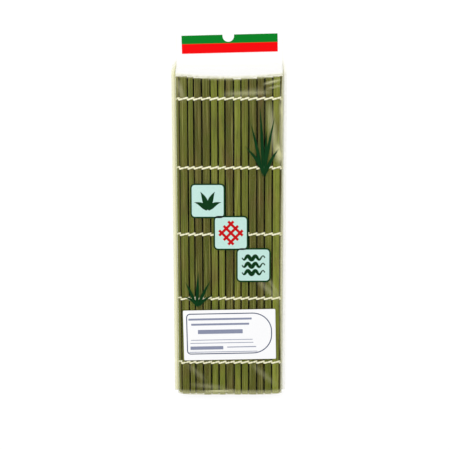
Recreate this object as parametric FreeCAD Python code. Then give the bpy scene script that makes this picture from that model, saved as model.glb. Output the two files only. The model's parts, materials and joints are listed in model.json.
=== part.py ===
import FreeCAD, Part
import math
import os

from FreeCAD import Rotation, Vector

# A sushi rolling mat, rolled once and pressed flat inside its clear retail pack.
# The pack lies on its back: X runs across the slats, Y along them to the header card, Z up.

# Slats: split bamboo, flat on the skin side and rounded on the back
slat_length = 240.0
mean_pitch = 5.75
slat_gap = 0.9
slat_thickness = 2.0
skin_height = 0.5
edge_depth = 0.3
skin_easing = 0.15

# Slats in the order that the thread meets them, from one free end of the mat to the other
front_count = 13
back_count = 6
back_left_shares = [0.97, 1.04, 0.92, 1.03, 1.00, 1.00]
front_shares = [1.10, 0.78, 1.02, 1.08, 0.99, 0.90, 1.10, 0.95, 0.99, 1.06, 0.99, 1.01, 1.03]
back_right_shares = [1.00, 1.05, 0.93, 1.02, 0.96, 1.03]
turned_share = 1.00

# Thread: two cotton strands twined round every slat, in rows
thread_diameter = 0.7
thread_clearance = 0.07
thread_rows = 5
row_spacing = 50.0
first_row_margin = 17.0
stitch_lean = 1.3
stitch_bend = 0.4
thread_sides = 8
back_strand_runs = 8
strand_end_gap = 0.1
fold_clearance = 0.06

# Film bag: a flat back sheet and a moulded-over front sheet, open at the mouth
film_thickness = 0.15
film_clearance = 0.3
flange_width = 3.0
mouth_overhang = 2.0
shoulder_overhang = 1.0
shoulder_length = 12.0
flap_margin = 0.8

# Header card and hang notch
header_width = 70.5
header_height = 13.1
header_thickness = 0.3
header_rise = 16.7
header_tilt_degrees = 1.2
notch_width = 8.5
notch_depth = 5.2
notch_offset = -0.9
cut_overrun = 2.0

# Label sticker on the front film
label_width = 71.9
label_height = 38.9
label_thickness = 0.15
label_drop = 194.6
label_tilt_degrees = 1.0

# Sizes that follow from the driving ones
pitch_shares = back_left_shares + [turned_share] + front_shares + [turned_share] + back_right_shares
slat_count = len(pitch_shares)
pitches = [mean_pitch * share for share in pitch_shares]
headings = [-180] * back_count + [-90] + [0] * front_count + [90] + [180] * back_count
thread_radius = thread_diameter / 2
thread_stack = thread_clearance + thread_diameter
back_depth = slat_thickness - skin_height
front_width = mean_pitch * sum(front_shares)

back_level = film_thickness + film_clearance + thread_stack + skin_height
front_level = back_level + mean_pitch * turned_share
film_inner_level = front_level + skin_height + thread_stack + film_clearance
film_outer_level = film_inner_level + film_thickness
film_seam_level = 2 * film_thickness

pack_length = mouth_overhang + slat_length + header_rise + header_height + flap_margin
mouth_y = -pack_length / 2
flap_top_y = pack_length / 2
mat_bottom_y = mouth_y + mouth_overhang
mat_top_y = mat_bottom_y + slat_length
shoulder_y = mat_top_y + shoulder_overhang
flap_y = shoulder_y + shoulder_length
film_inner_x = front_width / 2 + skin_height + thread_stack + film_clearance
film_outer_x = film_inner_x + film_thickness
flange_x = film_outer_x + flange_width
row_ys = [mat_top_y - first_row_margin - row * row_spacing for row in range(thread_rows)]


def hinge_lines():
    """Where the thread crosses between slats, as (x, z), from one free end of the mat to the other."""
    lines = [Vector(0, 0, 0)]
    for pitch, heading in zip(pitches, headings):
        angle = math.radians(heading)
        lines.append(lines[-1] + Vector(math.cos(angle), 0, -math.sin(angle)) * pitch)
    shift = Vector(-front_width / 2, 0, front_level) - lines[back_count + 1]
    return [line + shift for line in lines]


def prism(points, along):
    """The solid that a closed outline of points sweeps along a vector."""
    return Part.Face(Part.makePolygon(points + points[:1])).extrude(along)


def block(low, high):
    """A box between two opposite corners."""
    size = high - low
    return Part.makeBox(size.x, size.y, size.z, low)


def slat_solid(pitch):
    """One slat on its own hinge level, centred on X, skin face up."""
    half = (pitch - slat_gap) / 2
    corner = Vector(half, mat_bottom_y, -edge_depth)
    far_corner = Vector(-half, mat_bottom_y, -edge_depth)
    apex = Vector(0, mat_bottom_y, -back_depth)
    skin = [
        far_corner,
        Vector(-half, mat_bottom_y, skin_height - skin_easing),
        Vector(-half + skin_easing, mat_bottom_y, skin_height),
        Vector(half - skin_easing, mat_bottom_y, skin_height),
        Vector(half, mat_bottom_y, skin_height - skin_easing),
        corner,
    ]
    back = Part.Arc(corner, apex, far_corner).toShape()
    outline = Part.Wire(Part.makePolygon(skin).Edges + [back])
    return Part.Face(outline).extrude(Vector(0, slat_length, 0))


def faceted_tube(path):
    """A strand along straight runs, mitred at each turn, with flat sides and square ends."""
    run = (path[1] - path[0]).normalize()
    over = run.cross(path[-1] - path[0]).normalize()
    across = over.cross(run)
    reach = thread_radius / math.cos(math.pi / thread_sides)
    turns = [math.pi * (2 * side + 1) / thread_sides for side in range(thread_sides)]
    rings = [[path[0] + (across * math.cos(t) + over * math.sin(t)) * reach for t in turns]]
    for place, point in enumerate(path[1:], start=1):
        run = (point - path[place - 1]).normalize()
        after = (path[place + 1] - point).normalize() if place + 1 < len(path) else run
        mitre = (run + after).normalize()
        rings.append(
            [corner + run * ((point - corner).dot(mitre) / run.dot(mitre)) for corner in rings[-1]]
        )
    outlines = [rings[0][::-1], rings[-1]]
    for ring, later in zip(rings, rings[1:]):
        for side in range(thread_sides):
            other = (side + 1) % thread_sides
            outlines.append([ring[side], ring[other], later[other], later[side]])
    faces = [Part.Face(Part.makePolygon(outline + outline[:1])) for outline in outlines]
    return Part.makeSolid(Part.makeShell(faces))


def skin_strand(pitch):
    """The strand over the skin face: up out of one gap, slanting across, and down into the next."""
    run_level = skin_height + thread_clearance + thread_radius
    foot = Vector(-pitch / 2, -stitch_lean, strand_end_gap)
    corner = Vector(-pitch / 2, -stitch_lean, run_level)
    along = Vector(pitch, 2 * stitch_lean, 0).normalize()
    rising = [
        foot,
        corner - Vector(0, 0, stitch_bend),
        corner + along * stitch_bend,
    ]
    falling = [Vector(-point.x, -point.y, point.z) for point in reversed(rising)]
    return faceted_tube(rising + falling)


def strand_room(pitch, folded_before, folded_after):
    """The room behind a slat that its back strand may fill, mitred where the mat folds."""
    reach = back_depth + thread_stack + thread_clearance + thread_radius
    half_y = stitch_lean + thread_diameter
    outline = []
    for side, folded in ((-1, folded_before), (1, folded_after)):
        hinge = pitch / 2
        near = hinge - fold_clearance if folded else hinge + thread_diameter
        far = hinge - fold_clearance - reach if folded else hinge + thread_diameter
        ends = [Vector(side * near, -half_y, 0), Vector(side * far, -half_y, -reach)]
        outline += ends if side < 0 else ends[::-1]
    return prism(outline, Vector(0, 2 * half_y, 0))


def back_strand(pitch, folded_before, folded_after):
    """The strand round the rounded back, up into the gap at both ends or mitred at a fold."""
    half = (pitch - slat_gap) / 2
    drop = back_depth - edge_depth
    back_radius = (half**2 + drop**2) / (2 * drop)
    strand_radius = back_radius + thread_clearance + thread_radius
    centre_level = back_radius - back_depth
    widest = math.asin(pitch / 2 / strand_radius)
    path = [Vector(-pitch / 2, stitch_lean, -strand_end_gap)]
    for step in range(back_strand_runs + 1):
        angle = widest * (2 * step / back_strand_runs - 1)
        x = strand_radius * math.sin(angle)
        path.append(Vector(x, -stitch_lean * x / (pitch / 2), centre_level - strand_radius * math.cos(angle)))
    path.append(Vector(pitch / 2, -stitch_lean, -strand_end_gap))
    strand = faceted_tube(path)
    if not folded_before and not folded_after:
        return strand
    pieces = strand.common(strand_room(pitch, folded_before, folded_after)).Solids
    return max(pieces, key=lambda piece: piece.Volume)


def is_fold(index):
    """Whether the mat folds at the hinge line before the slat of this index."""
    return 0 < index < slat_count and headings[index] != headings[index - 1]


def stitch_solids(index):
    """Every stitch on one slat: a skin strand and a back strand in each row."""
    strands = [
        skin_strand(pitches[index]),
        back_strand(pitches[index], is_fold(index), is_fold(index + 1)),
    ]
    return [strand.translated(Vector(0, y, 0)) for y in row_ys for strand in strands]


def hang_notch():
    """The cutter for the hang notch, shared by the header card and both film sheets."""
    radius = notch_width / 2
    top = header_height / 2
    centre = Vector(notch_offset, top - notch_depth + radius, -cut_overrun)
    height = film_seam_level + header_thickness + 2 * cut_overrun
    round_end = Part.makeCylinder(radius, height, centre)
    far = Vector(notch_offset + radius, top + flap_margin + cut_overrun, height - cut_overrun)
    straight = block(Vector(notch_offset - radius, centre.y, -cut_overrun), far)
    return place_on_header(round_end.fuse(straight))


def place_on_header(shape):
    """Turn a shape drawn about the header card's centre to the card's tilt and place."""
    turned = shape.rotated(Vector(0, 0, 0), Vector(0, 0, 1), header_tilt_degrees)
    return turned.translated(Vector(0, mat_top_y + header_rise + header_height / 2, 0))


def header_card():
    """The printed card strip on the front of the flap."""
    half = Vector(header_width / 2, header_height / 2, 0)
    seat = Vector(0, 0, film_seam_level)
    card = block(seat - half, seat + half + Vector(0, 0, header_thickness))
    return place_on_header(card).cut(hang_notch())


def film_back():
    """The bag's flat back sheet, from the mouth to the top of the flap."""
    sheet = block(Vector(-flange_x, mouth_y, 0), Vector(flange_x, flap_top_y, film_thickness))
    return sheet.cut(hang_notch())


def film_front():
    """The bag's front sheet: top and sides over the mat, a sloping shoulder and the flap."""
    half_section = [
        (flange_x, film_thickness),
        (flange_x, film_seam_level),
        (film_outer_x, film_seam_level),
        (film_outer_x, film_outer_level),
    ]
    inner_section = [(film_inner_x, film_inner_level), (film_inner_x, film_thickness)]
    outline = half_section + [(-x, z) for x, z in reversed(half_section)]
    outline += [(-x, z) for x, z in reversed(inner_section)] + inner_section
    body = prism(
        [Vector(x, mouth_y, z) for x, z in outline], Vector(0, shoulder_y - mouth_y, 0)
    )
    slope = [
        Vector(-film_outer_x, shoulder_y, film_inner_level),
        Vector(-film_outer_x, shoulder_y, film_outer_level),
        Vector(-film_outer_x, flap_y, film_seam_level),
        Vector(-film_outer_x, flap_y, film_thickness),
    ]
    shoulder = prism(slope, Vector(2 * film_outer_x, 0, 0))
    cheek = [Vector(-film_outer_x, shoulder_y, film_thickness)] + slope[1:]
    left_cheek = prism(cheek, Vector(film_thickness, 0, 0))
    right_cheek = left_cheek.translated(Vector(film_inner_x + film_outer_x, 0, 0))
    seam = block(
        Vector(-flange_x, shoulder_y, film_thickness),
        Vector(-film_inner_x, flap_y, film_seam_level),
    )
    other_seam = seam.translated(Vector(film_inner_x + flange_x, 0, 0))
    flap = block(
        Vector(-flange_x, flap_y, film_thickness), Vector(flange_x, flap_top_y, film_seam_level)
    )
    sheet = body.multiFuse([shoulder, left_cheek, right_cheek, seam, other_seam, flap])
    return sheet.removeSplitter().cut(hang_notch())


def label_sticker():
    """The paper sticker on the front film, a little askew."""
    half = Vector(label_width / 2, label_height / 2, 0)
    paper = block(half * -1, half + Vector(0, 0, label_thickness))
    turned = paper.rotated(Vector(0, 0, 0), Vector(0, 0, 1), label_tilt_degrees)
    return turned.translated(Vector(0, mat_top_y - label_drop, film_outer_level))


def export(name, shapes):
    """Write one node and print what it holds."""
    solids = [solid for shape in shapes for solid in shape.Solids]
    node = solids[0] if len(solids) == 1 else Part.makeCompound(solids)
    node.exportStep("parts/" + name + ".step")
    print(name, len(solids), round(node.Volume, 2), all(solid.isValid() for solid in solids))


os.makedirs("parts", exist_ok=True)
lines = hinge_lines()
for index in range(slat_count):
    centre = (lines[index] + lines[index + 1]) * 0.5
    turn = FreeCAD.Placement(centre, Rotation(Vector(0, 1, 0), headings[index]))
    number = "%02d" % (index + 1)
    export("slat_" + number, [slat_solid(pitches[index]).transformed(turn.toMatrix())])
    stitches = [strand.transformed(turn.toMatrix()) for strand in stitch_solids(index)]
    export("stitches_" + number, stitches)
export("film_back", [film_back()])
export("film_front", [film_front()])
export("header_card", [header_card()])
export("label_sticker", [label_sticker()])
for number, line in enumerate(lines):
    print("hinge line", number, round(line.x, 4), round(line.z, 4))
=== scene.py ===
# %% [markdown]
# # A sushi rolling mat in its clear pack
# The mat is a row of split bamboo slats twined together with cotton thread. It lies rolled once and
# pressed flat inside a clear film bag, with a header card at the top and a label on the front. The
# imported model gives every place and size, so this lesson only dresses it: each slat gets rounded
# edges and grain, each stitch becomes real twine, and the film gets its folds, gloss and painted glints.

# %% Load the imported model
import json
import math
import random

import bmesh
import bpy
from mathutils import Matrix, Vector, noise


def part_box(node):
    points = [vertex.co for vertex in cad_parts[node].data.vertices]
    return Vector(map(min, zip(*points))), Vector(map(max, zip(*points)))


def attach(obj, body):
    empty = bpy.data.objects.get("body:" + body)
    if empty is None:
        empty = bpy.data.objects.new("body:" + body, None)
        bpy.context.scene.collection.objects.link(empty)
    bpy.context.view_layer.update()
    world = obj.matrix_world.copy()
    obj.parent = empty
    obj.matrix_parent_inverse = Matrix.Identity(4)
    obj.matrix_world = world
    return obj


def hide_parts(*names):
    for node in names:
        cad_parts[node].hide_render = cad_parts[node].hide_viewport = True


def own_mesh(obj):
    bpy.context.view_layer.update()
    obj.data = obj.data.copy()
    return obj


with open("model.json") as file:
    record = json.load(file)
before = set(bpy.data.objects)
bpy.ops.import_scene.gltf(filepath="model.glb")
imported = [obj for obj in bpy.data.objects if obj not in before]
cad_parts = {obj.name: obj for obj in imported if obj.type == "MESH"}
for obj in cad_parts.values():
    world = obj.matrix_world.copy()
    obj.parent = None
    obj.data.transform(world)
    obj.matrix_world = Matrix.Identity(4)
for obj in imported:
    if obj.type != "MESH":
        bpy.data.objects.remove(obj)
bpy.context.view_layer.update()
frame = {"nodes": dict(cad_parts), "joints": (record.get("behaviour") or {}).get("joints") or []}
MM = 0.001
UP = Vector((0, 0, 1))
LENGTHWISE = Vector((0, 1, 0))

# %% [markdown]
# ## The camera
# The photograph was taken from almost straight above, a little towards the header end, so the header
# end looks slightly larger. A camera could be aimed by eye, but here its place and turn come from
# matching the corners of the mat, the card and the label. With the rotation order ZYX, the three
# angles are read as tilt, sideways lean and roll.

# %% Make the camera
PHOTO_PIXELS = 450
FOCAL_PIXELS = 903.5
SENSOR_MM = 36
CAMERA_PLACE = (0.6, 94.7, 676.5)
CAMERA_TURN = (-8.45, 0.38, -0.16)

camera_data = bpy.data.cameras.new("photo_camera")
camera_data.sensor_fit = "HORIZONTAL"
camera_data.sensor_width = SENSOR_MM
camera_data.lens = SENSOR_MM * FOCAL_PIXELS / PHOTO_PIXELS
camera = bpy.data.objects.new("photo_camera", camera_data)
camera.location = Vector(CAMERA_PLACE) * MM
camera.rotation_mode = "ZYX"
camera.rotation_euler = [math.radians(angle) for angle in CAMERA_TURN]
bpy.context.scene.collection.objects.link(camera)
bpy.context.scene.camera = camera
print("Camera lens", round(camera_data.lens, 1), "mm")

# %% [markdown]
# ## Helpers for finishes
# A finish is a small graph of nodes. Building one takes the same three moves each time: add a node,
# set its values, and link its inputs. One helper does all three, so that each finish below reads like
# a recipe. Colours are written as they look on screen, and turned into the linear light that
# shaders use.


# %% Small helpers for node graphs
def screen_colour(red, green, blue):
    """A screen colour from 0 to 255, as linear light with full opacity."""
    linear = []
    for value in (red, green, blue):
        share = value / 255
        linear.append(share / 12.92 if share <= 0.04045 else ((share + 0.055) / 1.055) ** 2.4)
    return (*linear, 1.0)


def add_node(tree, kind, inputs=None, **settings):
    """A new node with its settings, and its inputs filled by plain values or by links."""
    node = tree.nodes.new(kind)
    for name, value in settings.items():
        setattr(node, name, value)
    for name, value in (inputs or {}).items():
        if isinstance(value, bpy.types.NodeSocket):
            tree.links.new(value, node.inputs[name])
        else:
            node.inputs[name].default_value = value
    return node


def start_finish(name, **sockets):
    """A material, its node tree and its Principled shader with the given plain sockets set."""
    material = bpy.data.materials.new(name)
    material.use_nodes = True
    shader = material.node_tree.nodes["Principled BSDF"]
    for socket, value in sockets.items():
        shader.inputs[socket.replace("_", " ")].default_value = value
    return material, material.node_tree, shader


print("Helpers for node graphs ready")

# %% [markdown]
# Patterns come from noise that is stretched along the slats, and small nodes then spread, mix and combine
# the values. Each helper returns the socket that the next one takes, so a recipe reads from the top down.


# %% Patterns, mixes and sums
def stretched_noise(tree, grain, stretch, detail=3.0):
    """Noise in Object coordinates: grain is the size of a speck across, stretch how much longer it is."""
    place = add_node(tree, "ShaderNodeTexCoord")
    scale = (1 / grain, 1 / (grain * stretch), 1 / grain)
    mapping = add_node(tree, "ShaderNodeMapping", {"Vector": place.outputs["Object"], "Scale": scale})
    inputs = {"Vector": mapping.outputs["Vector"], "Scale": 1.0, "Detail": detail}
    return add_node(tree, "ShaderNodeTexNoise", inputs).outputs["Fac"]


def spread(tree, value, low, high, to_low=0.0, to_high=1.0):
    """Stretches the part of a value between low and high to a new range."""
    inputs = {0: value, 1: low, 2: high, 3: to_low, 4: to_high}
    return add_node(tree, "ShaderNodeMapRange", inputs, clamp=True).outputs[0]


def mix_colours(tree, factor, first, second):
    """Two colours mixed by a factor."""
    inputs = {0: factor, 6: first, 7: second}
    return add_node(tree, "ShaderNodeMix", inputs, data_type="RGBA").outputs[2]


def calculate(tree, operation, first, second=0.0):
    """One step of arithmetic on two values."""
    return add_node(tree, "ShaderNodeMath", {0: first, 1: second}, operation=operation).outputs[0]


def attribute(tree, name):
    """A number stored on the points of the mesh."""
    return add_node(tree, "ShaderNodeAttribute", attribute_name=name).outputs["Fac"]


def bump(tree, shader, height, depth):
    """Fine relief of a given depth in metres."""
    inputs = {"Height": height, "Distance": depth, "Strength": 1.0}
    relief = add_node(tree, "ShaderNodeBump", inputs)
    tree.links.new(relief.outputs["Normal"], shader.inputs["Normal"])


print("Helpers for patterns ready")

# %% [markdown]
# ## Light and floor
# The mat lies on a white sheet under soft light. The world gives even fill from all round and one
# large lamp above the header end draws the soft shadow below the mat. The camera sees the world and
# most of the floor as plain white, but part of the floor stays an ordinary white surface, which keeps
# the shadow.

# %% Set the light
FILL = 0.72
SHEEN = 0.4
KEY_WATTS = 4.4
KEY_SIZE = 0.7
KEY_PLACE = (-0.25, 0.5, 0.85)

scene = bpy.context.scene
scene.view_settings.view_transform = "Standard"
world = bpy.data.worlds.new("soft_studio")
world.use_nodes = True
scene.world = world
tree = world.node_tree
rays = add_node(tree, "ShaderNodeLightPath")
seen = calculate(tree, "MAXIMUM", rays.outputs["Is Camera Ray"], rays.outputs["Is Transmission Ray"])
strength = spread(tree, rays.outputs["Is Glossy Ray"], 0.0, 1.0, FILL, SHEEN)
strength = calculate(tree, "MAXIMUM", strength, seen)
tree.links.new(strength, tree.nodes["Background"].inputs["Strength"])
tree.nodes["Background"].inputs["Color"].default_value = (1, 1, 1, 1)

key_data = bpy.data.lights.new("key_lamp", "AREA")
key_data.size = KEY_SIZE
key_data.energy = KEY_WATTS
key = bpy.data.objects.new("key_lamp", key_data)
key.location = KEY_PLACE
key.rotation_euler = (-key.location).to_track_quat("-Z", "Y").to_euler()
scene.collection.objects.link(key)
print("Lit with fill", FILL, "and a key lamp of", KEY_WATTS, "W")

# %% Lay the floor
FLOOR_SIDE = 4.0
FLOOR_DROP = 0.05 * MM
FLOOR_GLOW = 1.12
GLOW_SHARE = 0.7
SHEET_WHITE = (0.9, 0.9, 0.9, 1)

bm = bmesh.new()
bmesh.ops.create_grid(bm, x_segments=1, y_segments=1, size=FLOOR_SIDE / 2)
bmesh.ops.translate(bm, vec=-UP * FLOOR_DROP, verts=bm.verts)
floor_mesh = bpy.data.meshes.new("floor")
bm.to_mesh(floor_mesh)
bm.free()
floor = bpy.data.objects.new("floor", floor_mesh)
scene.collection.objects.link(floor)
paper, tree, shader = start_finish("white_sheet", Base_Color=SHEET_WHITE, Roughness=0.9)
rays = add_node(tree, "ShaderNodeLightPath")
seen = calculate(tree, "MAXIMUM", rays.outputs["Is Camera Ray"], rays.outputs["Is Glossy Ray"])
seen = calculate(tree, "MAXIMUM", seen, rays.outputs["Is Transmission Ray"])
white = add_node(tree, "ShaderNodeEmission", {"Color": (1, 1, 1, 1), "Strength": FLOOR_GLOW})
share = calculate(tree, "MULTIPLY", seen, GLOW_SHARE)
inputs = {0: share, 1: shader.outputs["BSDF"], 2: white.outputs["Emission"]}
both = add_node(tree, "ShaderNodeMixShader", inputs)
tree.links.new(both.outputs[0], tree.nodes["Material Output"].inputs["Surface"])
floor.data.materials.append(paper)
print("Floor is", FLOOR_SIDE, "m wide")

# %% [markdown]
# ## Where the slats lie
# The slats form a chain: each one lies between two hinge lines, and the thread lets it turn about
# them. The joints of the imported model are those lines. The two free ends have no joint, so they are
# half a gap beyond the outer slats. From two lines follows the slat's own frame: along the chain,
# along the slat, and out of its skin side.

# %% Read the chain of hinge lines
FLAT_SLAT = 9
hinges = sorted(joint["name"] for joint in frame["joints"] if joint["type"] == "hinge")
joint_of = {joint["name"]: joint for joint in frame["joints"]}
lines = [Vector(joint_of[name]["pos_m"]) for name in hinges]
slat_names = sorted(name for name in frame["nodes"] if name.startswith("slat_"))
low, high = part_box(slat_names[FLAT_SLAT])
slat_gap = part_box(slat_names[FLAT_SLAT + 1])[0].x - high.x
slat_bottom, slat_top = low.y, high.y
skin_height = high.z - lines[FLAT_SLAT].z
back_depth = lines[FLAT_SLAT].z - low.z
first_end = Vector((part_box(slat_names[0])[1].x + slat_gap / 2, 0, lines[0].z))
last_end = Vector((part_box(slat_names[-1])[0].x - slat_gap / 2, 0, lines[-1].z))
lines = [first_end] + lines + [last_end]
print(len(slat_names), "slats, gap", round(slat_gap / MM, 2), "mm")

# %% Find a slat's own frame
FOLD_COSINE = 0.5


def slat_frame(index):
    """The pitch of a slat and the matrix that puts its own frame in place."""
    step = lines[index + 1] - lines[index]
    along = step.normalized()
    middle = (lines[index] + lines[index + 1]) / 2
    turn = Matrix((along, LENGTHWISE, along.cross(LENGTHWISE))).transposed()
    return step.length, Matrix.Translation(middle) @ turn.to_4x4()


def folds_at(index):
    """Whether the chain turns a corner at the hinge line of this index."""
    if not 0 < index < len(slat_names):
        return False
    before = (lines[index] - lines[index - 1]).normalized()
    after = (lines[index + 1] - lines[index]).normalized()
    return before.dot(after) < FOLD_COSINE


def stands_on_edge(index):
    """Whether a slat has a corner of the chain on both sides."""
    return folds_at(index) and folds_at(index + 1)


print("The chain folds at lines", [index for index in range(len(lines)) if folds_at(index)])

# %% [markdown]
# One slat stands on edge at each side, between the front and the back of the flattened roll. Pressing
# the roll flat tips these two outwards at the back, the left one more. They could be left upright, but
# the camera sees a strip of their skin only because of that lean.

# %% Lean the two slats on edge
LEFT_LEAN = math.radians(20)
RIGHT_LEAN = math.radians(6)


def slat_lean(index):
    """The lean of a turned slat, outwards about its front hinge line. The other slats do not lean."""
    pitch, place = slat_frame(index)
    if not stands_on_edge(index):
        return Matrix()
    on_left = place.translation.x < 0
    angle = LEFT_LEAN if on_left else -RIGHT_LEAN
    pivot = Matrix.Translation((pitch / 2 if on_left else -pitch / 2, 0, 0))
    return pivot @ Matrix.Rotation(angle, 4, "Y") @ pivot.inverted()


leans = [round(math.degrees(lean)) for lean in (LEFT_LEAN, RIGHT_LEAN)]
print("Slats on edge lean by", leans, "degrees")

# %% [markdown]
# ## Bamboo
# A slat shows its outer skin: olive green to brown, with fine fibres along its length, paler streaks
# and cloudy patches. Wood could be painted from an image, but stretched noise gives fibres that never
# repeat and run true on every slat. Numbers stored on the mesh tell the finish how light the slat is,
# and whether a point lies on the skin, on a split edge or on the pale inner side. The split edges are
# painted near-black, as shade in the deep grooves between slats, except where they face up on the two
# slats on edge.

# %% Make the bamboo finish
bamboo, tree, shader = start_finish("bamboo_skin", IOR=1.45, Specular_IOR_Level=0.15)
tone = attribute(tree, "slat_tone")
skin = attribute(tree, "skin_share")
pale = attribute(tree, "pale_edge")
fibre = stretched_noise(tree, 0.30 * MM, 90)
streak = stretched_noise(tree, 1.1 * MM, 40)
cloud = stretched_noise(tree, 4.0 * MM, 5)
patch = stretched_noise(tree, 9.0 * MM, 3)

ramp = add_node(tree, "ShaderNodeValToRGB", {"Fac": tone})
stops = ((0.0, (86, 74, 36)), (0.3, (90, 92, 32)), (0.65, (112, 120, 40)), (1.0, (144, 152, 58)))
while len(ramp.color_ramp.elements) < len(stops):
    ramp.color_ramp.elements.new(0.5)
for element, (place, colour) in zip(ramp.color_ramp.elements, stops):
    element.position = place
    element.color = screen_colour(*colour)
colour = ramp.outputs["Color"]
layers = (
    (cloud, 0.45, 0.72, 0.0, 0.6, (80, 96, 34)),
    (patch, 0.5, 0.72, 0.0, 0.55, (104, 82, 48)),
    (streak, 0.52, 0.70, 0.0, 0.6, (158, 156, 84)),
    (fibre, 0.3, 0.55, 0.6, 0.0, (56, 52, 18)),
)
for pattern, start, stop, faint, full, tint in layers:
    share = spread(tree, pattern, start, stop, faint, full)
    colour = mix_colours(tree, share, colour, screen_colour(*tint))
# The split edges are painted near-black, as shade in the deep grooves between slats. Where they face up on
# the slats on edge, they take a paler olive instead.
edge_colour_with_groove_shade = mix_colours(tree, pale, screen_colour(12, 9, 2), screen_colour(112, 106, 58))
inner_colour = mix_colours(tree, fibre, screen_colour(170, 144, 90), screen_colour(200, 178, 124))
wood = mix_colours(tree, spread(tree, skin, 0.0, 0.45), inner_colour, edge_colour_with_groove_shade)
colour = mix_colours(tree, spread(tree, skin, 0.55, 0.95), wood, colour)
tree.links.new(colour, shader.inputs["Base Color"])
tree.links.new(spread(tree, streak, 0.3, 0.7, 0.36, 0.55), shader.inputs["Roughness"])
bump(tree, shader, fibre, 0.05 * MM)
print("Bamboo finish mixes", len(stops), "tones and", len(layers), "patterns")

# %% [markdown]
# ## The slats
# A slat is split from a bamboo cane, so one face is the flat skin and the back is rounded. It could be
# a bevelled box, but a short outline drawn across the slat and extruded along it gives the rounded
# back too. Below the skin the sides lean out to a ledge, which nearly meets the next slat's and leaves
# a narrow groove between them, whose walls are painted near-black as shade. The slats are cut
# unevenly, sag at the top and have slipped down at the front, so each one begins and stops at its own
# place.

# %% Find where each slat begins and stops
EDGE_STANDS_OUT = 0.4 * MM
UNEVEN_END = 0.7 * MM
TOP_DIP = 2.4 * MM
TOP_RISE = 0.4 * MM
BOTTOM_SLIP = 2.3 * MM
CORNER_RISE = 1.2 * MM
mat_half = max(point.x for point in lines) + skin_height + EDGE_STANDS_OUT


def top_dip(x):
    """How far the mat's top edge sags at a place across it."""
    return TOP_DIP * max(1 - (x / mat_half) ** 2, 0.0)


def corner_rise(x):
    """How much higher the bottom ends towards the two corners of the pack."""
    return CORNER_RISE * min((x / mat_half) ** 8, 1.0)


def slat_ends(middle, draw):
    """Where a slat begins and stops. The slats on the front have slipped down a little in the pack."""
    bottom = slat_bottom + draw.uniform(0.0, UNEVEN_END)
    top = slat_top + TOP_RISE - draw.uniform(0.0, UNEVEN_END) - top_dip(middle.x)
    on_front = middle.z > lines[0].z + MM
    slipped = bottom - BOTTOM_SLIP + corner_rise(middle.x)
    return (slipped, top) if on_front else (bottom, top - UNEVEN_END)


print("The mat is", round(2 * mat_half / MM, 1), "mm wide")

# %% [markdown]
# The skin corners are bevelled, the ends get a fine bevel of their own, and the length is cut into short
# stretches. The points are then nudged by smooth noise, because no split edge is quite straight.

# %% Shape one slat
SKIN_ROUND = 0.42 * MM
EDGE_DEPTH = 1.1 * MM
LEDGE_DEPTH = 0.75 * MM
END_ROUND = 0.18 * MM
LENGTH_CUTS = 30
SWAY = 0.16 * MM
SWAY_RATE = 0.6
SWELL = 0.05
SWELL_LAYER = 7.3
LIFT_SHARE = 0.4
LIFT_RATE = 0.8
LIFT_LAYER = 3.1
WAVER_LENGTH = 26 * MM
HAIR = MM * 0.01
BACK_CURVE = ((-0.8, 0.6), (-0.4, 0.92), (0.0, 1.0), (0.4, 0.92), (0.8, 0.6))


def slat_outline(width, left, right):
    """The points round a slat's section: flat skin, sides that lean out to left and right, rounded back."""
    half = width / 2
    shoulder = back_depth - EDGE_DEPTH
    back = [(half * across, -EDGE_DEPTH - shoulder * drop) for across, drop in BACK_CURVE]
    return (
        (half, -LEDGE_DEPTH),
        (half, skin_height),
        (-half, skin_height),
        (-half, -LEDGE_DEPTH),
        (-left, -EDGE_DEPTH),
        *back,
        (right, -EDGE_DEPTH),
    )


def runs_lengthwise(edge):
    """Whether an edge runs along the slat."""
    return abs(edge.verts[0].co.y - edge.verts[1].co.y) > (slat_top - slat_bottom) / 2


def shape_slat(width, left, right, bottom, top):
    """A bmesh of one slat in its own frame."""
    bm = bmesh.new()
    corners = [bm.verts.new((x, bottom, z)) for x, z in slat_outline(width, left, right)]
    face = bm.faces.new(corners)
    far = bmesh.ops.extrude_face_region(bm, geom=[face])["geom"]
    moved = [item for item in far if isinstance(item, bmesh.types.BMVert)]
    bmesh.ops.translate(bm, vec=(0, top - bottom, 0), verts=moved)
    bmesh.ops.recalc_face_normals(bm, faces=bm.faces)
    skin_edges = [e for e in bm.edges if runs_lengthwise(e) and e.verts[0].co.z > skin_height - HAIR]
    rounding = dict(segments=3, profile=0.5, affect="EDGES", material=-1)
    bmesh.ops.bevel(bm, geom=skin_edges, offset=SKIN_ROUND, **rounding)
    end_edges = [e for e in bm.edges if abs(e.verts[0].co.y - e.verts[1].co.y) < HAIR]
    rounding["segments"] = 1
    bmesh.ops.bevel(bm, geom=end_edges, offset=END_ROUND, clamp_overlap=True, **rounding)
    long_edges = [e for e in bm.edges if runs_lengthwise(e)]
    bmesh.ops.subdivide_edges(bm, edges=long_edges, cuts=LENGTH_CUTS, use_grid_fill=True)
    return bm


def roughen_slat(bm, seed):
    """Nudges the points so that the edges waver along the slat and the whole slat bends slightly."""
    for vert in bm.verts:
        along = vert.co.y / WAVER_LENGTH
        sway = noise.noise(Vector((seed, along * SWAY_RATE, 0.0))) * SWAY
        swell = noise.noise(Vector((seed, along, SWELL_LAYER))) * SWELL
        lift = noise.noise(Vector((seed, along * LIFT_RATE, LIFT_LAYER))) * SWAY * LIFT_SHARE
        near_skin = min(max((vert.co.z + LEDGE_DEPTH) / LEDGE_DEPTH, 0.0), 1.0)
        vert.co.x += (sway + vert.co.x * swell) * near_skin
        vert.co.z += lift


print("A slat is cut into", LENGTH_CUTS + 1, "stretches")
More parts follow.
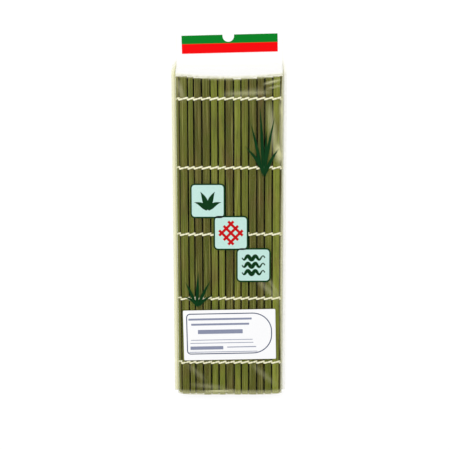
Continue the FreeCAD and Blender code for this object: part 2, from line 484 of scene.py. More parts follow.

# %% [markdown]
# The same helpers finish every piece: they turn a bmesh into a mesh, store numbers on its points, and
# make an object with its finish. They also tell the frame which body the piece rides on and which node
# it stands for.


# %% Helpers that finish a piece
def finish_piece(name, mesh, finishes, body, replaced=(), smooth_angle=40):
    """An object from a mesh, with its finishes, riding on a body."""
    piece = bpy.data.objects.new(name, mesh)
    scene.collection.objects.link(piece)
    for finish in finishes:
        mesh.materials.append(finish)
    mesh.shade_smooth()
    mesh.set_sharp_from_angle(angle=math.radians(smooth_angle))
    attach(piece, body)
    if replaced:
        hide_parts(*replaced)
    return piece


def mesh_from(bm, name):
    """A mesh from a bmesh, which is then let go."""
    mesh = bpy.data.meshes.new(name)
    bm.to_mesh(mesh)
    bm.free()
    return mesh


def store_numbers(mesh, numbers):
    """Writes named numbers on every point of a mesh."""
    for name, values in numbers.items():
        layer = mesh.attributes.new(name, "FLOAT", "POINT")
        layer.data.foreach_set("value", values)


print("Helpers for pieces ready")

# %% [markdown]
# Each slat is now shaped in its own frame, marked point by point as skin, split edge or inner wood, and
# moved to its place. The slats on the front have tones chosen one by one, so that light and dark ones
# alternate as on the real mat. The hidden ones take any tone.

# %% Tell skin, split edge and inner wood apart
SKIN_REACH = 0.4
EDGE_REACH = 0.3


def skin_share(point, bottom, top):
    """1 on the skin, a half on a split edge, and 0 on the inner wood and on the cut ends."""
    if not bottom + HAIR < point.y < top - HAIR:
        return 0.0
    if point.z > skin_height - SKIN_ROUND * SKIN_REACH:
        return 1.0
    if point.z > -EDGE_DEPTH - (back_depth - EDGE_DEPTH) * EDGE_REACH:
        return 0.5
    return 0.0


print("The split edge begins", round(SKIN_ROUND * SKIN_REACH / MM, 2), "mm below the skin")

# %% Make all the slats
GROOVE_GAP = 0.005 * MM
SLAT_SEED = 240
SEED_START = 0.3
SEED_STEP = 1.7
FRONT_TONES = (0.45, 0.5, 0.2, 0.3, 0.7, 0.75, 0.2, 0.8, 0.55, 0.3, 0.15, 0.5, 0.9)
FIRST_FRONT = (len(slat_names) - len(FRONT_TONES)) // 2

draw = random.Random(SLAT_SEED)
for index, name in enumerate(slat_names):
    pitch, place = slat_frame(index)
    width = pitch - slat_gap
    wide, narrow = (pitch - GROOVE_GAP) / 2, width / 2
    turned = stands_on_edge(index)
    left = narrow if folds_at(index) or index == 0 else wide
    right = narrow if folds_at(index + 1) or index == len(slat_names) - 1 else wide
    bottom, top = slat_ends(place.translation, draw)
    bm = shape_slat(width, left, right, bottom, top)
    roughen_slat(bm, index * SEED_STEP + SEED_START)
    skin_shares = [skin_share(vert.co, bottom, top) for vert in bm.verts]
    # On the slats on edge the upper part of the split edge is marked pale, so it misses the painted groove
    # shade.
    pale_edges = [1.0 if turned and vert.co.z > -LEDGE_DEPTH / 2 else 0.0 for vert in bm.verts]
    if turned:
        bmesh.ops.translate(bm, vec=UP * EDGE_STANDS_OUT, verts=bm.verts)
    bmesh.ops.transform(bm, matrix=place @ slat_lean(index), verts=bm.verts)
    mesh = mesh_from(bm, "bamboo_" + name)
    count = len(mesh.vertices)
    tone = draw.random()
    if FIRST_FRONT <= index < FIRST_FRONT + len(FRONT_TONES):
        tone = FRONT_TONES[index - FIRST_FRONT]
    store_numbers(mesh, {
        "slat_tone": [tone] * count,
        "skin_share": skin_shares,
        "pale_edge": pale_edges,
    })
    finish_piece("bamboo_" + name, mesh, [bamboo], name, [name])
print("Made", len(slat_names), "slats of", count, "points each")

# %% [markdown]
# ## Cotton twine
# Two strands twine round every slat in five rows: one crosses the skin while the other passes behind,
# and they swap sides in each gap. A strand is itself two plies laid round each other. A plain tube
# could stand for it, but two thin tubes winding round one path give the rope its real lay. Each slat
# carries the strands that lie on it, so the rows open and close with the mat.

# %% Make the twine finish
cotton, tree, shader = start_finish("cotton_twine", Roughness=0.85, Sheen_Weight=0.2)
fuzz = stretched_noise(tree, 0.12 * MM, 1.0)
blotch = stretched_noise(tree, 2.5 * MM, 1.0)
fuzz_share = spread(tree, fuzz, 0.3, 0.7)
colour = mix_colours(tree, fuzz_share, screen_colour(255, 250, 206), screen_colour(255, 255, 234))
colour = mix_colours(tree, spread(tree, blotch, 0.5, 0.8, 0.0, 0.35), colour, screen_colour(250, 238, 196))
tree.links.new(colour, shader.inputs["Base Color"])
bump(tree, shader, fuzz, 0.03 * MM)
print("Twine finish ready")

# %% Find the rows of twine
THREAD_REACH = 1.65 * MM
ROW_SHIFTS = (0.6, 0.5, -0.3, -0.5, 0.2)

row_levels = []
stitch_low, stitch_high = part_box("stitches_14")
first = stitch_low.y + THREAD_REACH
last = stitch_high.y - THREAD_REACH
for row, shift in enumerate(ROW_SHIFTS):
    row_levels.append(first + (last - first) * row / (len(ROW_SHIFTS) - 1) + shift * MM)
print("Rows at", [round(level / MM, 1) for level in row_levels], "mm")

# %% [markdown]
# A strand rises in one gap, crosses the slat and goes down in the next gap, so its route is a squared
# arch, leaning a little along the slat. At a folded corner there is less room behind the slat, and the
# route there keeps clear of the fold.

# %% Route a strand
STITCH_LEAN = 0.68 * MM
SKIN_STRAND = 0.78 * MM
BACK_STRAND = 0.48 * MM
SKIN_SINK = 0.53 * MM
BACK_SINK = 0.14 * MM
SKIN_FOOT = -0.3 * MM
BACK_FOOT = 0.1 * MM
SKIN_SQUARENESS = 3.4
BACK_SQUARENESS = 2.4
PLY_POINTS = 22


def arch(pitch, share, foot, crown, squareness):
    """A point on an arch over a slat: share runs from 0 at one gap to 1 at the next."""
    angle = math.pi * (1 - share)
    power = 2 / squareness
    across = math.copysign(abs(math.cos(angle)) ** power, math.cos(angle)) * pitch / 2
    level = foot + (crown - foot) * abs(math.sin(angle)) ** power
    return Vector((across, 0, level))


def strand_route(pitch, on_skin, folded):
    """The centre points of a strand over the skin or round the back of a slat."""
    route = []
    for step in range(PLY_POINTS):
        share = step / (PLY_POINTS - 1)
        if on_skin:
            crown = skin_height + SKIN_STRAND - SKIN_SINK
            point = arch(pitch, share, SKIN_FOOT, crown, SKIN_SQUARENESS)
            lean = STITCH_LEAN
        else:
            crown = -back_depth - BACK_STRAND + BACK_SINK
            point = arch(pitch, share, BACK_FOOT, crown, BACK_SQUARENESS)
            lean = -STITCH_LEAN
            side = 0 if point.x < 0 else 1
            if folded[side]:
                room = pitch / 2 - BACK_STRAND - max(0.0, -point.z)
                point.x = math.copysign(min(abs(point.x), max(room, 0.0)), point.x)
        point.y = lean * point.x / (pitch / 2)
        route.append(point)
    return route


print("A strand's route has", PLY_POINTS, "points")

# %% [markdown]
# The two plies wind round that route, half a turn apart. They are drawn as curves with a round section,
# thinner towards the gaps where the strands are pulled tight, and then made a mesh.

# %% Wind two plies round a route
LAY = 2.6 * MM
PRESSED_WIDE = 1.08
PLY_OFFSET = 0.45
PLY_RADIUS = 0.57
PULLED_THIN = 0.15


def wind_plies(curve, route, radius, row, phase):
    """Adds the two plies of one strand to a curve, each as a tube that winds round the route."""
    travelled = 0.0
    plies = []
    for turn in (0.0, math.pi):
        spline = curve.splines.new("POLY")
        spline.points.add(len(route) - 1)
        plies.append((spline, turn))
    for step, centre in enumerate(route):
        before = route[max(step - 1, 0)]
        after = route[min(step + 1, len(route) - 1)]
        travelled += (centre - before).length
        run = (after - before).normalized()
        over = run.cross(LENGTHWISE).normalized()
        across = run.cross(over)
        away = abs(2 * step / (len(route) - 1) - 1)
        thickness = radius * (1 - PULLED_THIN * away**3)
        for spline, turn in plies:
            angle = 2 * math.pi * travelled / LAY + turn + phase
            wide = across * math.sin(angle) * PRESSED_WIDE
            offset = (over * math.cos(angle) + wide) * thickness * PLY_OFFSET
            spline.points[step].co = (*(centre + offset + LENGTHWISE * row), 1.0)
            spline.points[step].radius = thickness * PLY_RADIUS / MM


def tube_mesh(curve, name):
    """The mesh of a curve's tubes."""
    holder = bpy.data.objects.new(name, curve)
    scene.collection.objects.link(holder)
    bpy.context.view_layer.update()
    mesh = bpy.data.meshes.new_from_object(holder.evaluated_get(bpy.context.evaluated_depsgraph_get()))
    bpy.data.objects.remove(holder)
    bpy.data.curves.remove(curve)
    mesh.name = name
    return mesh


print("One turn of the plies takes", round(LAY / MM, 1), "mm")

# %% Twine every slat
LEVEL_PLAY = 0.12
TWINE_SEED = 17

draw = random.Random(TWINE_SEED)
for index, name in enumerate(slat_names):
    pitch, place = slat_frame(index)
    folded = (folds_at(index), folds_at(index + 1))
    curve = bpy.data.curves.new("twine_" + name, "CURVE")
    curve.dimensions = "3D"
    curve.bevel_depth = MM
    curve.bevel_resolution = 1
    curve.use_fill_caps = True
    for row in row_levels:
        level = row + draw.uniform(-LEVEL_PLAY, LEVEL_PLAY) * MM
        for on_skin, radius in ((True, SKIN_STRAND), (False, BACK_STRAND)):
            route = strand_route(pitch, on_skin, folded)
            wind_plies(curve, route, radius, level, draw.uniform(0, math.pi))
    mesh = tube_mesh(curve, "twine_" + name)
    mesh.transform(place @ slat_lean(index))
    stitch_node = name.replace("slat", "stitches")
    finish_piece("twine_" + name, mesh, [cotton], name, [stitch_node], smooth_angle=70)
print("Twined", len(slat_names), "slats with", len(mesh.polygons), "faces each")

# %% [markdown]
# ## The header card
# A strip of printed card closes the top of the pack, green above and red below, with a round notch for
# a display peg. The card's shape is already right, so the node itself stays and only gets a finish.
# The two bands are split by height on the card, read in Object coordinates that are turned with it.

# %% Print the header card
card_low, card_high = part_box("header_card")
CARD_TILT = math.radians(1.2)
GREEN_SHARE = 0.47
BAND_BLUR = 0.08 * MM
card_middle = (card_low + card_high) / 2
card_height = (card_high.y - card_low.y) - math.sin(CARD_TILT) * (card_high.x - card_low.x)

card_print, tree, shader = start_finish("printed_card", Roughness=0.5, Specular_IOR_Level=0.05)
place = add_node(tree, "ShaderNodeTexCoord")
inputs = {"Vector": place.outputs["Object"], "Location": card_middle, "Rotation": (0, 0, CARD_TILT)}
mapping = add_node(tree, "ShaderNodeMapping", inputs, vector_type="TEXTURE")
height = add_node(tree, "ShaderNodeSeparateXYZ", {0: mapping.outputs["Vector"]}).outputs["Y"]
split = card_height * (0.5 - GREEN_SHARE)
band = spread(tree, height, split - BAND_BLUR, split + BAND_BLUR)
speckle = stretched_noise(tree, 0.4 * MM, 1.0)
green = mix_colours(tree, speckle, screen_colour(0, 118, 30), screen_colour(2, 132, 38))
red = mix_colours(tree, speckle, screen_colour(236, 0, 4), screen_colour(248, 2, 8))
tree.links.new(mix_colours(tree, band, red, green), shader.inputs["Base Color"])
bump(tree, shader, speckle, 0.01 * MM)
card = frame["nodes"]["header_card"]
card.data.materials.clear()
card.data.materials.append(card_print)
print("Card is", round(card_height / MM, 1), "mm high")

# %% [markdown]
# ## The clear film
# The bag is two sheets sealed along the sides. The front sheet stands over the mat like a shallow
# tunnel, slopes down above it and lies flat over the card. It could be a box with rounded edges, but
# film is never so even: a fine grid is laid over the pack and each point is lifted to the shape of the
# tunnel, with small ripples and a few sharper creases. Clear film is mostly see-through, so its finish
# is a thin gloss whose opacity grows at a slant to the eye, at creases, where it shows painted glints,
# and at the sealed edges, where it shows painted glare and shade.

# %% Make the film finish
CLEAR_OPACITY = 0.002

film_finish, tree, shader = start_finish("clear_film", Roughness=0.1, IOR=1.5)
crease_and_rim_glint = attribute(tree, "crease_and_rim_glint")
seal_glare_and_shade = attribute(tree, "seal_glare_and_shade")
slant = add_node(tree, "ShaderNodeLayerWeight", {"Blend": 0.25}).outputs["Fresnel"]
# The film's colour: cream for painted glints and glare where its marks are faint, and grey olive for
# painted shade where the doubled film's mark is full.
colour = mix_colours(tree, seal_glare_and_shade, screen_colour(255, 253, 200), screen_colour(160, 160, 106))
tree.links.new(colour, shader.inputs["Base Color"])
slant = calculate(tree, "MULTIPLY", slant, calculate(tree, "SUBTRACT", 1.0, seal_glare_and_shade))
opacity = CLEAR_OPACITY
# Opacity carries the painted glints on creases and rim, the painted glare and shade of the doubled film,
# and a little more at a slant.
for place, strength in ((crease_and_rim_glint, 0.5), (seal_glare_and_shade, 0.6), (slant, 0.06)):
    opacity = calculate(tree, "ADD", opacity, calculate(tree, "MULTIPLY", place, strength))
tree.links.new(opacity, shader.inputs["Alpha"])
print("Film finish ready")

# %% [markdown]
# The section of the tunnel runs flat across the top, round a corner, down a wall and out along the
# sealed edge. A point's distance along that section gives its place across the pack and its height.

# %% Draw the tunnel's section
film_low, film_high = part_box("film_front")
FILM_THICKNESS = 0.1 * MM
FILM_CLEARANCE = 0.02 * MM
SEAL_WIDTH = 3.0 * MM
SHOULDER_GAP = 1.0 * MM
SHOULDER_LENGTH = 12.0 * MM
TUNNEL_ROUND = 1.6 * MM
film_top = film_high.z - FILM_CLEARANCE
seal_level = film_low.z + FILM_THICKNESS
tunnel_half = film_high.x - SEAL_WIDTH
shoulder_start = slat_top + SHOULDER_GAP
flap_start = shoulder_start + SHOULDER_LENGTH


def tunnel_section(run):
    """The side place and height share of the tunnel at a distance along its section from the middle."""
    side = math.copysign(1.0, run)
    run = abs(run)
    rise = film_top - seal_level
    flat = tunnel_half - TUNNEL_ROUND
    corner = TUNNEL_ROUND * math.pi / 2
    wall = rise - TUNNEL_ROUND
    if run <= flat:
        return side * run, 1.0
    if run <= flat + corner:
        angle = (run - flat) / TUNNEL_ROUND
        drop = TUNNEL_ROUND * (1 - math.cos(angle))
        return side * (flat + TUNNEL_ROUND * math.sin(angle)), 1.0 - drop / rise
    if run <= flat + corner + wall:
        return side * tunnel_half, 1.0 - (TUNNEL_ROUND + run - flat - corner) / rise
    return side * (tunnel_half + run - flat - corner - wall), 0.0


section_half = tunnel_half - TUNNEL_ROUND + TUNNEL_ROUND * math.pi / 2
section_half += film_top - seal_level - TUNNEL_ROUND + SEAL_WIDTH
print("Half of the section is", round(section_half / MM, 1), "mm long")

# %% [markdown]
# Film shows where it bends. Soft ripples dip it a little everywhere, and creases, each a line with a
# width in millimetres and a strength, dip it a little more and carry painted glints at the top, the
# sides and the mouth.

# %% Ripple the film
SOFT_PATCH = (14 * MM, 34 * MM, 1.7)
FINE_PATCH = (4 * MM, 11 * MM, 5.1)
SOFT_DIP = 0.05
FINE_DIP = 0.02


def patchy(x, y, patch):
    """Smooth noise from 0 to 1, in patches of a given width and height and from a layer of its own."""
    width, height, layer = patch
    return 0.5 + 0.5 * noise.noise(Vector((x / width, y / height, layer)))


def film_ripple(x, y):
    """How far the film dips below its highest level."""
    return (SOFT_DIP * patchy(x, y, SOFT_PATCH) + FINE_DIP * patchy(x, y, FINE_PATCH)) * MM


print("Ripples are up to", round(SOFT_DIP + FINE_DIP, 2), "mm deep")

# %% Crease the film
CREASE_END = 0.08
# Each crease dips the film a little and carries a painted glint.
CREASES = (
    ((25, 99.5, 37, 102.5), 0.8, 0.6),
    ((27, 96, 37.5, 98.5), 0.7, 0.35),
    ((-4, 92.5, 30, 93.5), 1.5, 0.3),
    ((2, 91.5, 26, 94.5), 2.4, 0.16),
    ((-20, -133.7, 3, -132.7), 0.55, 0.9),
    ((-30, -128, -4, -131), 1.6, 0.16),
    ((29, 84, 34, 48), 2.4, 0.34),
    ((34.5, 56, 38, 42), 2.6, 0.8),
    ((37.2, 40, 38.2, 100), 0.9, 0.6),
    ((37.6, 86, 38.2, 74), 1.2, 0.8),
    ((38.0, -100, 38.2, 20), 0.7, 0.5),
    ((20, -46, 37, -62), 2.0, 0.2),
    ((28, -44, 37, -60), 1.2, 0.2),
    ((16, -112, 34, -128), 1.8, 0.14),
    ((-34, 88, -37.5, 104), 1.6, 0.25),
    ((-33, -112, -20, -124), 1.8, 0.14),
)


def crease_share(x, y):
    """How strongly the film is creased at a point, from the strongest listed crease there."""
    share = 0.0
    for (x0, y0, x1, y1), width, strength in CREASES:
        start = Vector((x0, y0)) * MM
        run = Vector((x1, y1)) * MM - start
        place = min(max((Vector((x, y)) - start).dot(run) / run.length_squared, 0.0), 1.0)
        distance = (Vector((x, y)) - start - run * place).length / (width * MM)
        fade = math.sin(math.pi * (CREASE_END + (1 - 2 * CREASE_END) * place))
        share = max(share, strength * fade * math.exp(-distance * distance))
    return share


print("Film has", len(CREASES), "crease_and_rim_glints")

# %% [markdown]
# Where the film is doubled or folded, its look is painted on: beside the mat where the sheets are
# sealed, in a ragged fringe above the slats and in a strip at the mouth. Faint marks are cream, as
# painted glare, and full ones are grey olive, as painted shade. A painted glare also whitens the sealed
# rim, more on the left than on the right.

# %% Find where the film is doubled
SIDE_START = 0.1 * MM
SIDE_FULL = 0.6 * MM
SIDE_STOP = 2.0 * MM
WALL_FOOT = (0.02, 0.1)
WALL_HEAD = (0.7, 0.85)
WALL_CLEARS = 0.75
FLAP_CLEARS = 0.9
FRINGE = 1.0 * MM
FRINGE_LIFT = 0.3
FRINGE_LEAST = 0.35
FRINGE_PLAY = 0.5
RAGGED_PATCH = (2.2 * MM, 1.3 * MM, 9.4)
MOUTH = 4.4 * MM
MOUTH_FULL = 1.2 * MM
MOUTH_SHARE = 0.45
# Strengths of the painted glare on the left and right sealed rims.
LEFT_RIM_GLARE = 1.5
RIGHT_RIM_GLARE = 0.3
RIM_EASE = 0.4 * MM
RIM_FADES = 0.6
RIM_HEIGHT = 0.1


def smooth_step(value, low, high):
    """0 below low, 1 above high, with an easy curve between."""
    share = min(max((value - low) / (high - low), 0.0), 1.0)
    return share * share * (3 - 2 * share)


def seal_glare_and_shade_share(x, y, height_share, flat):
    """Painted glare and shade of doubled film: at the sides, above the slats and at the mouth."""
    side = smooth_step(abs(x), mat_half + SIDE_START, mat_half + SIDE_FULL)
    side *= 1 - smooth_step(abs(x), mat_half + SIDE_FULL, mat_half + SIDE_STOP)
    on_wall = smooth_step(height_share, *WALL_FOOT) * (1 - smooth_step(height_share, *WALL_HEAD))
    side *= (1 - WALL_CLEARS * on_wall) * (1 - FLAP_CLEARS * flat)
    across = 1 - smooth_step(abs(x), mat_half, film_high.x)
    above = (y - slat_top - TOP_RISE + top_dip(x)) / FRINGE - FRINGE_LIFT
    fringe = math.exp(-above * above) * (FRINGE_LEAST + FRINGE_PLAY * patchy(x, y, RAGGED_PATCH))
    mouth = MOUTH_SHARE * (1 - smooth_step(y, film_low.y + MOUTH_FULL, film_low.y + MOUTH))
    return max(side, fringe * across, mouth * across)


def rim_glare_share(x, height_share, flat):
    """How strongly painted glare whitens the sealed rim beside the mat, more on the left."""
    outside = smooth_step(abs(x), tunnel_half, tunnel_half + RIM_EASE)
    outside *= (1 - smooth_step(height_share, 0.0, RIM_HEIGHT)) * (1 - flat)
    outside *= 1 - RIM_FADES * smooth_step(abs(x), tunnel_half, film_high.x)
    return outside * (LEFT_RIM_GLARE if x < 0 else RIGHT_RIM_GLARE)


print("Mouth strip is", round(MOUTH / MM, 1), "mm high")

# %% [markdown]
# A grid now takes all of this in: each point gets its place from the section, its dip from ripples and
# creases, and two numbers for the finish.

# %% Lay the front film
FILM_COLUMNS = 130
FILM_ROWS = 270
LEFT_SLACK = 1.15 * MM
RIGHT_SLACK = 0.1 * MM
SLACK_START = 8 * MM
SLACK_FULL = 0.5 * MM
RISE_REACH = 10 * MM
CREASE_DIP = 0.12 * MM


def settle_with_film(piece):
    """Gives a piece that lies on the film a mesh of its own."""
    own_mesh(piece)


bm = bmesh.new()
bmesh.ops.create_grid(bm, x_segments=FILM_COLUMNS, y_segments=FILM_ROWS, size=1.0)
crease_and_rim_glints = []
seal_glares_and_shades = []
for vert in bm.verts:
    y = film_low.y + (film_high.y - film_low.y) * (vert.co.y + 1) / 2
    x, height_share = tunnel_section(vert.co.x * section_half)
    flat = smooth_step(y, shoulder_start, flap_start)
    x += (vert.co.x * film_high.x - x) * flat
    height_share *= 1 - flat
    level = seal_level + (film_top - seal_level) * height_share
    creased = crease_share(x, y)
    dip = (film_ripple(x, y) + creased * CREASE_DIP) * height_share
    slack = smooth_step(abs(x), tunnel_half - SLACK_START, tunnel_half - SLACK_FULL) * (1 - flat)
    slack *= -LEFT_SLACK if x < 0 else RIGHT_SLACK
    rise = corner_rise(x) * (1 - smooth_step(y, film_low.y, film_low.y + RISE_REACH))
    vert.co = (x + slack, y + rise, level - dip)
    # The two numbers paint glints on creases and rim, and glare and shade where the film is doubled.
    crease_and_rim_glints.append(max(creased, rim_glare_share(x, height_share, flat)))
    seal_glares_and_shades.append(seal_glare_and_shade_share(x, y, height_share, flat))
mesh = mesh_from(bm, "front_film")
store_numbers(mesh, {"crease_and_rim_glint": crease_and_rim_glints, "seal_glare_and_shade": seal_glares_and_shades})
front_film = finish_piece(
    "front_film", mesh, [film_finish], "pack", ["film_front"], smooth_angle=180
)
wall = front_film.modifiers.new("film_wall", "SOLIDIFY")
wall.thickness = FILM_THICKNESS
wall.offset = -1.0
settle_with_film(front_film)
print("Front film has", len(mesh.polygons), "faces")

# %% [markdown]
# The back sheet is flat, so its node stays as it is and takes the same film finish.

# %% Finish the back film
back_film = frame["nodes"]["film_back"]
back_film.data.materials.clear()
back_film.data.materials.append(film_finish)
print("Back film keeps its node")

# %% [markdown]
# ## The label
# A white paper sticker lies on the film near the bottom. It is a thin plate with slightly rounded
# corners. Its print is a plain frame with one half-round end and a few ruled lines. A print could be a
# texture, but thin flat shapes on the paper stay crisp at any distance. Each ruled line has a place from
# the label's middle, a length and a height, in millimetres.


# %% Inks and papers
def printed_finish(name, dark, light, roughness):
    """A printed or paper finish that varies a little between two screen colours."""
    material, tree, shader = start_finish(name, Roughness=roughness, Specular_IOR_Level=0.1)
    grain = stretched_noise(tree, 0.5 * MM, 1.0)
    colour = mix_colours(tree, spread(tree, grain, 0.3, 0.7), screen_colour(*dark), screen_colour(*light))
    tree.links.new(colour, shader.inputs["Base Color"])
    bump(tree, shader, grain, 0.004 * MM)
    return material


label_paper = printed_finish("label_paper", (250, 250, 252), (255, 255, 255), 0.6)
blue_ink = printed_finish("blue_grey_ink", (64, 74, 104), (78, 88, 118), 0.5)
pale_ink = printed_finish("pale_blue_ink", (132, 138, 162), (146, 152, 176), 0.5)
mint_ink = printed_finish("mint_ink", (184, 222, 212), (202, 234, 226), 0.35)
green_ink = printed_finish("dark_green_ink", (0, 48, 14), (4, 64, 24), 0.5)
red_ink = printed_finish("red_ink", (188, 2, 10), (206, 8, 16), 0.35)
print("Inks ready")

# %% [markdown]
# Every flat print is made the same way: a grid cell scaled to size, its corners rounded by a vertex
# bevel, turned, moved to its place and given a little thickness downwards.


# %% Shape a flat print
def flat_face(width, height):
    """A bmesh of one flat face with four corners, centred on the origin."""
    bm = bmesh.new()
    bmesh.ops.create_grid(bm, x_segments=1, y_segments=1, size=0.5)
    bmesh.ops.scale(bm, vec=(width, height, 1), verts=bm.verts)
    return bm


def round_corners(bm, corners, radius, segments):
    """Rounds the given corners of a flat face."""
    rounding = dict(segments=segments, profile=0.5, affect="VERTICES", material=-1)
    bmesh.ops.bevel(bm, geom=corners, offset=radius, **rounding)


def flat_plate(width, height, corner, segments=6):
    """A bmesh of one flat face with all its corners rounded."""
    bm = flat_face(width, height)
    round_corners(bm, bm.verts[:], corner, segments)
    return bm


def inset_face(bm, border):
    """Parts a border from a flat face, and returns the face that is left in the middle."""
    evenly = dict(use_boundary=True, use_even_offset=True)
    bmesh.ops.inset_region(bm, faces=bm.faces[:], thickness=border, **evenly)
    return max(bm.faces, key=lambda face: face.calc_area())


print("Helpers for flat shapes ready")

# %% Place and finish a flat print
PRINT_THICKNESS = 0.04 * MM
PRINT_CLEARANCE = 0.03 * MM
print_level = film_top + PRINT_CLEARANCE


def place_flat(bm, middle, turn=0.0):
    """Turns a flat shape about its own middle and moves it into place."""
    matrix = Matrix.Translation(middle) @ Matrix.Rotation(turn, 4, "Z")
    bmesh.ops.transform(bm, matrix=matrix, verts=bm.verts)


def thicken(bm, thickness):
    """Gives flat faces a thickness below them."""
    faces = bm.faces[:]
    bmesh.ops.recalc_face_normals(bm, faces=faces)
    for face in faces:
        if face.normal.z < 0:
            face.normal_flip()
    bmesh.ops.solidify(bm, geom=faces, thickness=thickness)
    bmesh.ops.recalc_face_normals(bm, faces=bm.faces)


def finish_print(name, bm, finishes, replaced=(), thickness=PRINT_THICKNESS):
    """Makes a flat shape a thin print that rides on the pack."""
    thicken(bm, thickness)
    piece = finish_piece(name, mesh_from(bm, name), finishes, "pack", replaced, smooth_angle=30)
    settle_with_film(piece)


print("Prints lie at", round(print_level / MM, 2), "mm")

# %% Make the label
label_low, label_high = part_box("label_sticker")
LABEL_TILT = math.radians(1.0)
LABEL_WIDTH = 70.0 * MM
LABEL_HEIGHT = 38.9 * MM
LABEL_CORNER = 0.8 * MM
LABEL_SHIFT = Vector((-0.7, 0.1, 0)) * MM
label_middle = (label_low + label_high) / 2 + LABEL_SHIFT
label_middle.z = label_high.z
bm = flat_plate(LABEL_WIDTH, LABEL_HEIGHT, LABEL_CORNER)
place_flat(bm, label_middle, LABEL_TILT)
paper_thickness = label_high.z - print_level
finish_print("paper_label", bm, [label_paper], ["label_sticker"], paper_thickness)
print("Label is", round(LABEL_WIDTH / MM, 1), "by", round(LABEL_HEIGHT / MM, 1), "mm")

# %% Print the label's frame
FRAME_SIZE = Vector((65.0, 31.9, 0)) * MM
FRAME_PLACE = (-0.2, 1.0)
FRAME_LINE = 0.75 * MM
FRAME_CORNER = 3.0 * MM
ROUND_END = 0.46
ink_middle = label_middle + UP * PRINT_THICKNESS


def place_on_label(bm, x, y):
    """Puts a flat shape on the label, at millimetres from its middle along its own edges."""
    shift = Matrix.Rotation(LABEL_TILT, 3, "Z") @ (Vector((x, y, 0)) * MM)
    place_flat(bm, ink_middle + shift, LABEL_TILT)


bm = flat_face(FRAME_SIZE.x, FRAME_SIZE.y)
right = [vert for vert in bm.verts if vert.co.x > 0]
round_corners(bm, right, FRAME_SIZE.y * ROUND_END, segments=14)
left = [vert for vert in bm.verts if vert.co.x < HAIR - FRAME_SIZE.x / 2]
round_corners(bm, left, FRAME_CORNER, segments=6)
inner = inset_face(bm, FRAME_LINE)
bmesh.ops.delete(bm, geom=[inner], context="FACES")
place_on_label(bm, *FRAME_PLACE)
finish_print("label_frame", bm, [blue_ink])
print("Frame's line is", round(FRAME_LINE / MM, 2), "mm wide")

# %% Rule the label
RULE_CORNER = 0.2 * MM
RULES = (
    (-7.0, 12.4, 48, 1.5),
    (-7.0, 8.4, 44, 1.5),
    (-7.0, 2.6, 34, 3.2),
    (-6.0, -3.8, 47, 0.5),
    (-6.0, -6.2, 48, 0.5),
    (-17.5, -10.0, 25, 2.6),
    (9.0, -9.6, 22, 0.7),
    (-5.0, -13.2, 52, 0.5),
)
for number, (x, y, width, height) in enumerate(RULES, start=1):
    bm = flat_plate(width * MM, height * MM, RULE_CORNER, segments=3)
    place_on_label(bm, x, y)
    finish_print("label_rule_%d" % number, bm, [pale_ink])
print("Label has", len(RULES), "rules")

# %% [markdown]
# ## Prints on the film
# Three pale mint tiles step down across the front, each with a dark green edge. Each one holds a plain
# ornament: a leaf, a woven lattice and waves. The edge is an inset of the tile's own face with a second
# finish, so edge and middle can never come apart.

# %% Print the tiles
TILE_SIDE = 25.9 * MM
TILE_CORNER = 3.4 * MM
TILE_EDGE = 1.1 * MM
TILE_PLACES = ((-16.7, 13.7), (0.5, -10.5), (17.4, -35.0))

for number, (x, y) in enumerate(TILE_PLACES, start=1):
    bm = flat_plate(TILE_SIDE, TILE_SIDE, TILE_CORNER)
    middle_face = inset_face(bm, TILE_EDGE)
    for face in bm.faces:
        face.material_index = 0 if face is middle_face else 1
    place_flat(bm, Vector((x * MM, y * MM, print_level)))
    finish_print("tile_%d" % number, bm, [mint_ink, green_ink])
print("Printed", len(TILE_PLACES), "tiles")

# %% [markdown]
# The ornaments and the reeds are ribbons: a line of points with a width at each one. A wave, a strip
# of a lattice and a blade of grass only differ in their line, so one helper draws them all. Letting the
# width fall almost to nothing makes a pointed leaf.


# %% Helpers for ribbons
def add_ribbon(bm, points, widths, level):
    """Adds a flat ribbon along points, as a row of four-sided faces."""
    rails = []
    for number, point in enumerate(points):
        before = points[max(number - 1, 0)]
        after = points[min(number + 1, len(points) - 1)]
        run = (after - before).normalized()
        side = Vector((-run.y, run.x)) * widths[number] / 2
        rails.append([bm.verts.new((*(point + offset), level)) for offset in (side, -side)])
    for (left, right), (next_left, next_right) in zip(rails, rails[1:]):
        bm.faces.new((left, right, next_right, next_left))


def curve_points(start, bend, end, count=18):
    """Points on a smooth curve that leaves start towards bend and arrives at end."""
    points = []
    for step in range(count):
        share = step / (count - 1)
        points.append(start * (1 - share) ** 2 + bend * 2 * share * (1 - share) + end * share**2)
    return points


def blade_widths(width, count=18, point=0.06):
    """Widths of a leaf that swells and then tapers to a point."""
    return [width * max(math.sin(math.pi * (step / (count - 1)) ** 0.75), point) for step in range(count)]


print("Helpers for ribbons ready")

# %% [markdown]
# The leaf is a fan of blades, each with a lean in degrees and a length and a width in millimetres. The
# lattice is two layers of strips laid crosswise, one a hair above the other. The waves are blunt ribbons
# along a sine curve. All three lie on top of their tiles.

# %% Print a leaf on the first tile
LAYER_STEP = 0.004 * MM
ornament_level = print_level + PRINT_THICKNESS
middles = [Vector(place) * MM for place in TILE_PLACES]
LEAF_FOOT = Vector((0, -7.8)) * MM
LEAF_BEND = 0.3
LEAVES = ((-56, 12.0, 3.6), (-20, 15.5, 4.0), (20, 15.5, 4.0), (56, 12.0, 3.6))

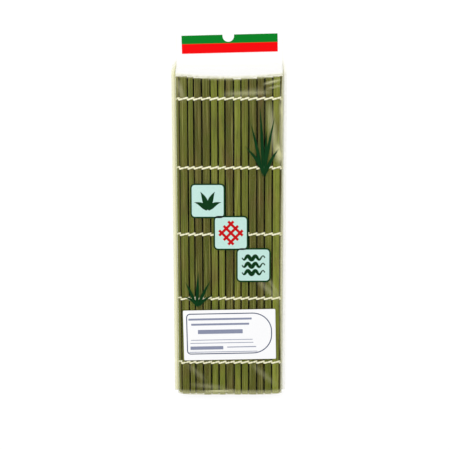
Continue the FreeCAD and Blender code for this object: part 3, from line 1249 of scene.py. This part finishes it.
bm = bmesh.new()
foot = middles[0] + LEAF_FOOT
for number, (lean, length, width) in enumerate(LEAVES):
    way = Vector((math.sin(math.radians(lean)), math.cos(math.radians(lean))))
    bend = foot + (Vector((0, 1)) + way) * length * MM * LEAF_BEND
    points = curve_points(foot + way * MM, bend, foot + way * length * MM)
    add_ribbon(bm, points, blade_widths(width * MM), ornament_level + number * LAYER_STEP)
finish_print("tile_leaf", bm, [green_ink])
print("Leaf has", len(LEAVES), "blades")

# %% Print a lattice on the second tile
STRIP_WIDTH = 1.9 * MM
STRIP_HALF = 7.6 * MM
STRIP_STEP = 4.8 * MM

bm = bmesh.new()
for layer, turn in enumerate((45, -45)):
    way = Vector((math.cos(math.radians(turn)), math.sin(math.radians(turn))))
    aside = Vector((-way.y, way.x))
    for strip in (-1, 0, 1):
        centre = middles[1] + aside * strip * STRIP_STEP
        points = [centre - way * STRIP_HALF, centre + way * STRIP_HALF]
        add_ribbon(bm, points, [STRIP_WIDTH] * 2, ornament_level + layer * LAYER_STEP)
finish_print("tile_lattice", bm, [red_ink])
print("Lattice strips are", round(STRIP_WIDTH / MM, 1), "mm wide")

# %% Print waves on the third tile
WAVE_STEPS = 40
WAVE_HALF = 8.6
WAVE_HEIGHT = 1.5
WAVE_RATE = 1.1
WAVE_WIDTH = 2.9 * MM
WAVE_BLUNT = 0.3
WAVE_LEVELS = (-5.6, 0.0, 5.6)

bm = bmesh.new()
for rise in WAVE_LEVELS:
    points = []
    for step in range(WAVE_STEPS):
        across = -WAVE_HALF + 2 * WAVE_HALF * step / (WAVE_STEPS - 1)
        points.append(middles[2] + Vector((across, rise + WAVE_HEIGHT * math.sin(across * WAVE_RATE))) * MM)
    add_ribbon(bm, points, blade_widths(WAVE_WIDTH, WAVE_STEPS, WAVE_BLUNT), ornament_level)
finish_print("tile_waves", bm, [green_ink])
print("Printed", len(WAVE_LEVELS), "waves")

# %% [markdown]
# Two tufts of reeds are printed beside the tiles. Each blade is a ribbon that bends on its way from the
# root to its tip, with a place for the bend, one for the tip and a width, in millimetres from the root. A
# hair's step between blades keeps their faces from lying in one plane.

# %% Print the reeds
REED_SPACING = 0.5
MIDDLE_REED = 2
REEDS = {
    "reed_print_high": ((25, 32), (
        (-5, 22, -10, 40, 2.2), (-1, 24, -3, 52, 2.4), (3, 22, 8, 44, 2.2),
        (-3, 12, -14, 22, 2.6), (4, 12, 11, 20, 2.4), (1, 16, 2, 34, 2.0),
    )),
    "reed_print_low": ((-25, -67), (
        (-4, 10, -9, 19, 2.2), (0, 12, 1, 27, 2.4), (4, 10, 10, 20, 2.2),
        (-2, 5, -10, 8, 2.2), (3, 5, 12, 9, 2.2),
    )),
}
for name, (root, blades) in REEDS.items():
    bm = bmesh.new()
    foot = Vector(root) * MM
    for number, (bend_x, bend_y, tip_x, tip_y, width) in enumerate(blades):
        start = foot + Vector((REED_SPACING * (number - MIDDLE_REED), 0)) * MM
        bend = foot + Vector((bend_x, bend_y)) * MM
        tip = foot + Vector((tip_x, tip_y)) * MM
        level = print_level + number * LAYER_STEP
        add_ribbon(bm, curve_points(start, bend, tip), blade_widths(width * MM), level)
    finish_print(name, bm, [green_ink])
print("Printed", len(REEDS), "tufts of reeds")
